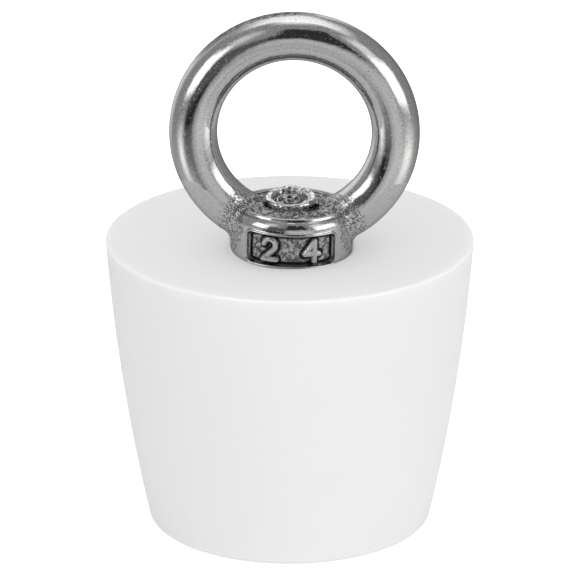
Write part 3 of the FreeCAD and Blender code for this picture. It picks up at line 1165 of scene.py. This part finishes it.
def make_tent():
    """A tent round the eye that only mirror-like surfaces see: soft boxes, grey cloth, dark flags."""
    bpy.ops.mesh.primitive_uv_sphere_add(segments=96, ring_count=48, radius=80 * MM)
    tent = bpy.context.object
    tent.name = "tent"
    tent.location.z = TENT_CENTRE
    # The tent's cloth lies on the floor inside it.
    open_mesh(tent)
    cut_level(0.3 * MM, above=False)
    close_mesh()
    finish = new_finish(tent, "tent_cloth")
    x, y, z = finish.axes(finish.vector("NORMALIZE", finish.place()))
    azimuth = x.maths("ARCTAN2", x, 0 - y)
    elevation = z.maths("ARCSINE", z)
    level = CLOTH
    for _, *patch in TENT:
        level = level + tent_patch(azimuth, elevation, *patch)
    finish.end(finish.node("ShaderNodeEmission", None, {0: rgba(1.0), 1: level.most(0.02)}))
    tent.data.materials[0].cycles.emission_sampling = "NONE"
    for seen in ("camera", "diffuse", "transmission", "volume_scatter", "shadow"):
        setattr(tent, f"visible_{seen}", False)


# Middle of the tent above the floor, and the brightness of its cloth.
TENT_CENTRE = 40 * MM
CLOTH = 0.4

# Name; azimuth (0 towards the camera, + to its right) and half width, elevation and half height, and
# softness, all in degrees; how much it adds to the cloth's brightness or takes from it.
TENT = [
    ("strip overhead", 165, 95, 70, 10, 15, 1.4),
    ("top opening", 0, 180, 90, 10, 10, 1.4),
    ("left box", -60, 15, 20, 15, 6, 2.0),
    ("left spill", -45, 15, 45, 10, 10, 0.6),
    ("right box", 65, 20, 15, 15, 6, 1.8),
    ("right spill", 60, 15, 40, 10, 8, 0.8),
    ("camera", 10, 20, 35, 20, 4, -0.35),
    ("dark left of the camera", -30, 20, 5, 20, 5, -0.25),
    ("dark table left of the camera", -20, 25, -20, 10, 10, -0.25),
    ("rear left wall", -140, 20, 10, 30, 15, 1.0),
    ("rear wall", 180, 20, 25, 15, 10, 1.2),
    ("sheet on the table", 15, 25, -10, 20, 8, 0.4),
    ("right box in the table", 70, 20, -25, 10, 20, 1.4),
    ("left box in the table", -65, 10, -25, 10, 15, 1.4),
    ("table", 0, 180, -50, 25, 20, 0.3),
]


def tent_patch(azimuth, elevation, middle, wide, height, tall, soft, brightness):
    """The brightness inside a soft rectangle on the tent, 0 outside."""
    finish = azimuth.finish
    middle, wide, height, tall, soft = (math.radians(v) for v in (middle, wide, height, tall, soft))
    turn = azimuth.maths("WRAP", azimuth - middle, -math.pi, math.pi).size()
    rise = (elevation - height).size()
    inside = finish.step(turn, wide + soft, wide - soft) * finish.step(rise, tall + soft, tall - soft)
    return inside * brightness


def make_lamps():
    """Four soft boxes, each 0.8 m wide and turned to the plug: name, place in metres, power in watts."""
    lamps = (
        ("overhead", (0.0, 0.0, 0.9), 1.3),
        ("right", (0.8, -0.5, 0.45), 1.8),
        ("left", (-0.8, -0.5, 0.45), 0.5),
        ("front", (0.0, -0.55, 0.75), 3.4),
    )
    for name, place, power in lamps:
        bpy.ops.object.light_add(type="AREA", location=place)
        lamp = bpy.context.object
        lamp.name = f"{name} lamp"
        lamp.data.size = 0.8
        lamp.data.energy = power
        lamp.rotation_euler = (Vector((0, 0, 0.02)) - Vector(place)).to_track_quat("-Z", "Y").to_euler()
        lamp.visible_glossy = False
        # The polished eye throws as much light on the rubber as it takes, so it casts no shadow.
        bpy.data.objects["cast_eye_nut"].select_set(True)
        bpy.ops.object.light_linking_blockers_link(link_state="EXCLUDE")


def make_camera(scene, settings):
    """The camera at the photograph's place, looking a little below the rubber's top."""
    a, e, far = settings.azimuth, settings.elevation, settings.distance
    top = Vector((0, 0, PLUG_HIGH.z))
    place = top + far * Vector((math.sin(a) * math.cos(e), -math.cos(a) * math.cos(e), math.sin(e)))
    aim = top + Vector((settings.aim_right, 0, -settings.aim_below))
    bpy.ops.object.camera_add(location=place)
    camera = bpy.context.object
    camera.rotation_euler = (aim - place).to_track_quat("-Z", "Y").to_euler()
    camera.data.lens = settings.lens
    camera.data.clip_start = 0.01
    camera.data.clip_end = 20
    scene.camera = camera


class EYEPLUG_PT_panel(bpy.types.Panel):
    """Sizes and colours of the plug, and a button for each piece"""

    bl_label = "Tapered Plug"
    bl_space_type = "VIEW_3D"
    bl_region_type = "UI"
    bl_category = "Plug"

    def draw(self, context):
        for operator, name, group in STEPS:
            box = self.layout.box()
            box.operator(operator.bl_idname)
            for setting in group.__annotations__:
                box.prop(getattr(context.scene, name), setting)


STEPS = (
    (EYEPLUG_OT_rubber, "plug_sizes", PlugSizes),
    (EYEPLUG_OT_eye_nut, "nut_sizes", NutSizes),
    (EYEPLUG_OT_screw, "screw_sizes", ScrewSizes),
    (EYEPLUG_OT_washer, "washer_sizes", WasherSizes),
    (EYEPLUG_OT_studio, "studio_settings", StudioSettings),
)


def register():
    for operator, name, group in STEPS:
        bpy.utils.register_class(group)
        setattr(bpy.types.Scene, name, PointerProperty(type=group))
        bpy.utils.register_class(operator)
    bpy.utils.register_class(EYEPLUG_PT_panel)


def unregister():
    bpy.utils.unregister_class(EYEPLUG_PT_panel)
    for operator, name, group in reversed(STEPS):
        bpy.utils.unregister_class(operator)
        delattr(bpy.types.Scene, name)
        bpy.utils.unregister_class(group)


def main():
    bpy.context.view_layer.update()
    register()
    bpy.ops.eyeplug.rubber()
    bpy.ops.eyeplug.eye_nut()
    bpy.ops.eyeplug.screw()
    bpy.ops.eyeplug.washer()
    bpy.ops.eyeplug.studio()


if __name__ == "__main__":
    main()
